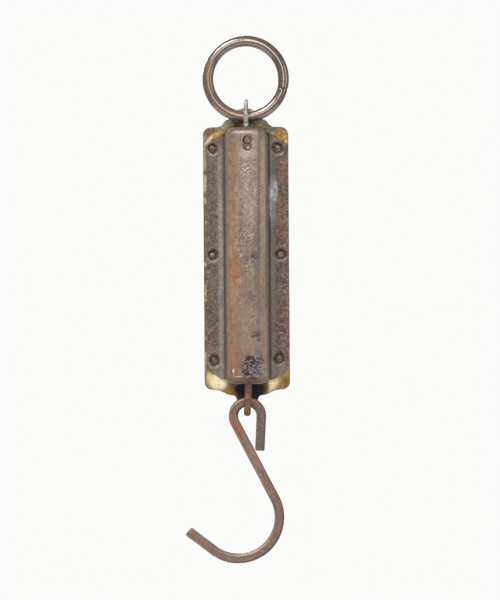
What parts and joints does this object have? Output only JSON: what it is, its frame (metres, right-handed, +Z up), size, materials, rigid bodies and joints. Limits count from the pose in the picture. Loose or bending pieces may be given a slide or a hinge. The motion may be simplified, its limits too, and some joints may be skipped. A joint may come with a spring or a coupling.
{
  "type": "hanging spring scale",
  "caption": "Hanging spring scale with a suspension ring, riveted sheet-metal case, graduated brass face with sliding index, and a load hook on a spring-loaded draw bar.",
  "frame": {"origin": "top of the inside of the suspension ring, where the ring bears on whatever holds it up", "axes": "+Z up along the load line, +Y out of the graduated brass face, -Y out of the pressed back cover, +X to the right seen from the back"},
  "size_m": [0.0471, 0.0205, 0.2336],
  "materials": {
    "ring_steel": "dull grey-brown iron with worn highlights",
    "cover_iron": "rust-pitted sheet iron with orange streaks and dark scale",
    "plate_brass": "tarnished sheet brass, bright at the rubbed corners",
    "hanger_steel": "worn grey steel",
    "rivet_iron": "rusted iron",
    "spring_steel": "oiled dark spring steel",
    "bar_steel": "rusted steel",
    "pin_steel": "dull steel",
    "pointer_brass": "tarnished brass",
    "hook_iron": "brown rust patina on square stock"
  },
  "bodies": {
    "ring": {"suspension_ring": "ring_steel"},
    "casing": {"hanger_strap": "hanger_steel", "back_cover": "cover_iron", "face_plate": "plate_brass", "rivet_upper_left": "rivet_iron", "rivet_upper_right": "rivet_iron", "rivet_middle_left": "rivet_iron", "rivet_middle_right": "rivet_iron", "rivet_lower_left": "rivet_iron", "rivet_lower_right": "rivet_iron", "main_spring": "spring_steel"},
    "draw": {"draw_bar": "bar_steel", "overload_stop_pin": "pin_steel", "index_slider": "pointer_brass", "index_pointer": "pointer_brass"},
    "hook": {"load_hook": "hook_iron"}
  },
  "joints": [
    {"name": "casing_swing", "type": "hinge", "parent": "ring", "child": "casing", "pos_m": [0, 0, -0.0311], "axis": [1, 0, 0], "range_deg": [-150, 95]},
    {"name": "draw_slide", "type": "slide", "parent": "casing", "child": "draw", "axis": [0, 0, -1], "range_m": [0, 0.044], "stiffness_N_per_m": 2500, "springref_m": -0.0015, "deforming": ["main_spring"]},
    {"name": "hook_swing", "type": "hinge", "parent": "draw", "child": "hook", "pos_m": [0, 0, -0.15741], "axis": [1, 0, 0], "range_deg": [-120, 70]}
  ]
}
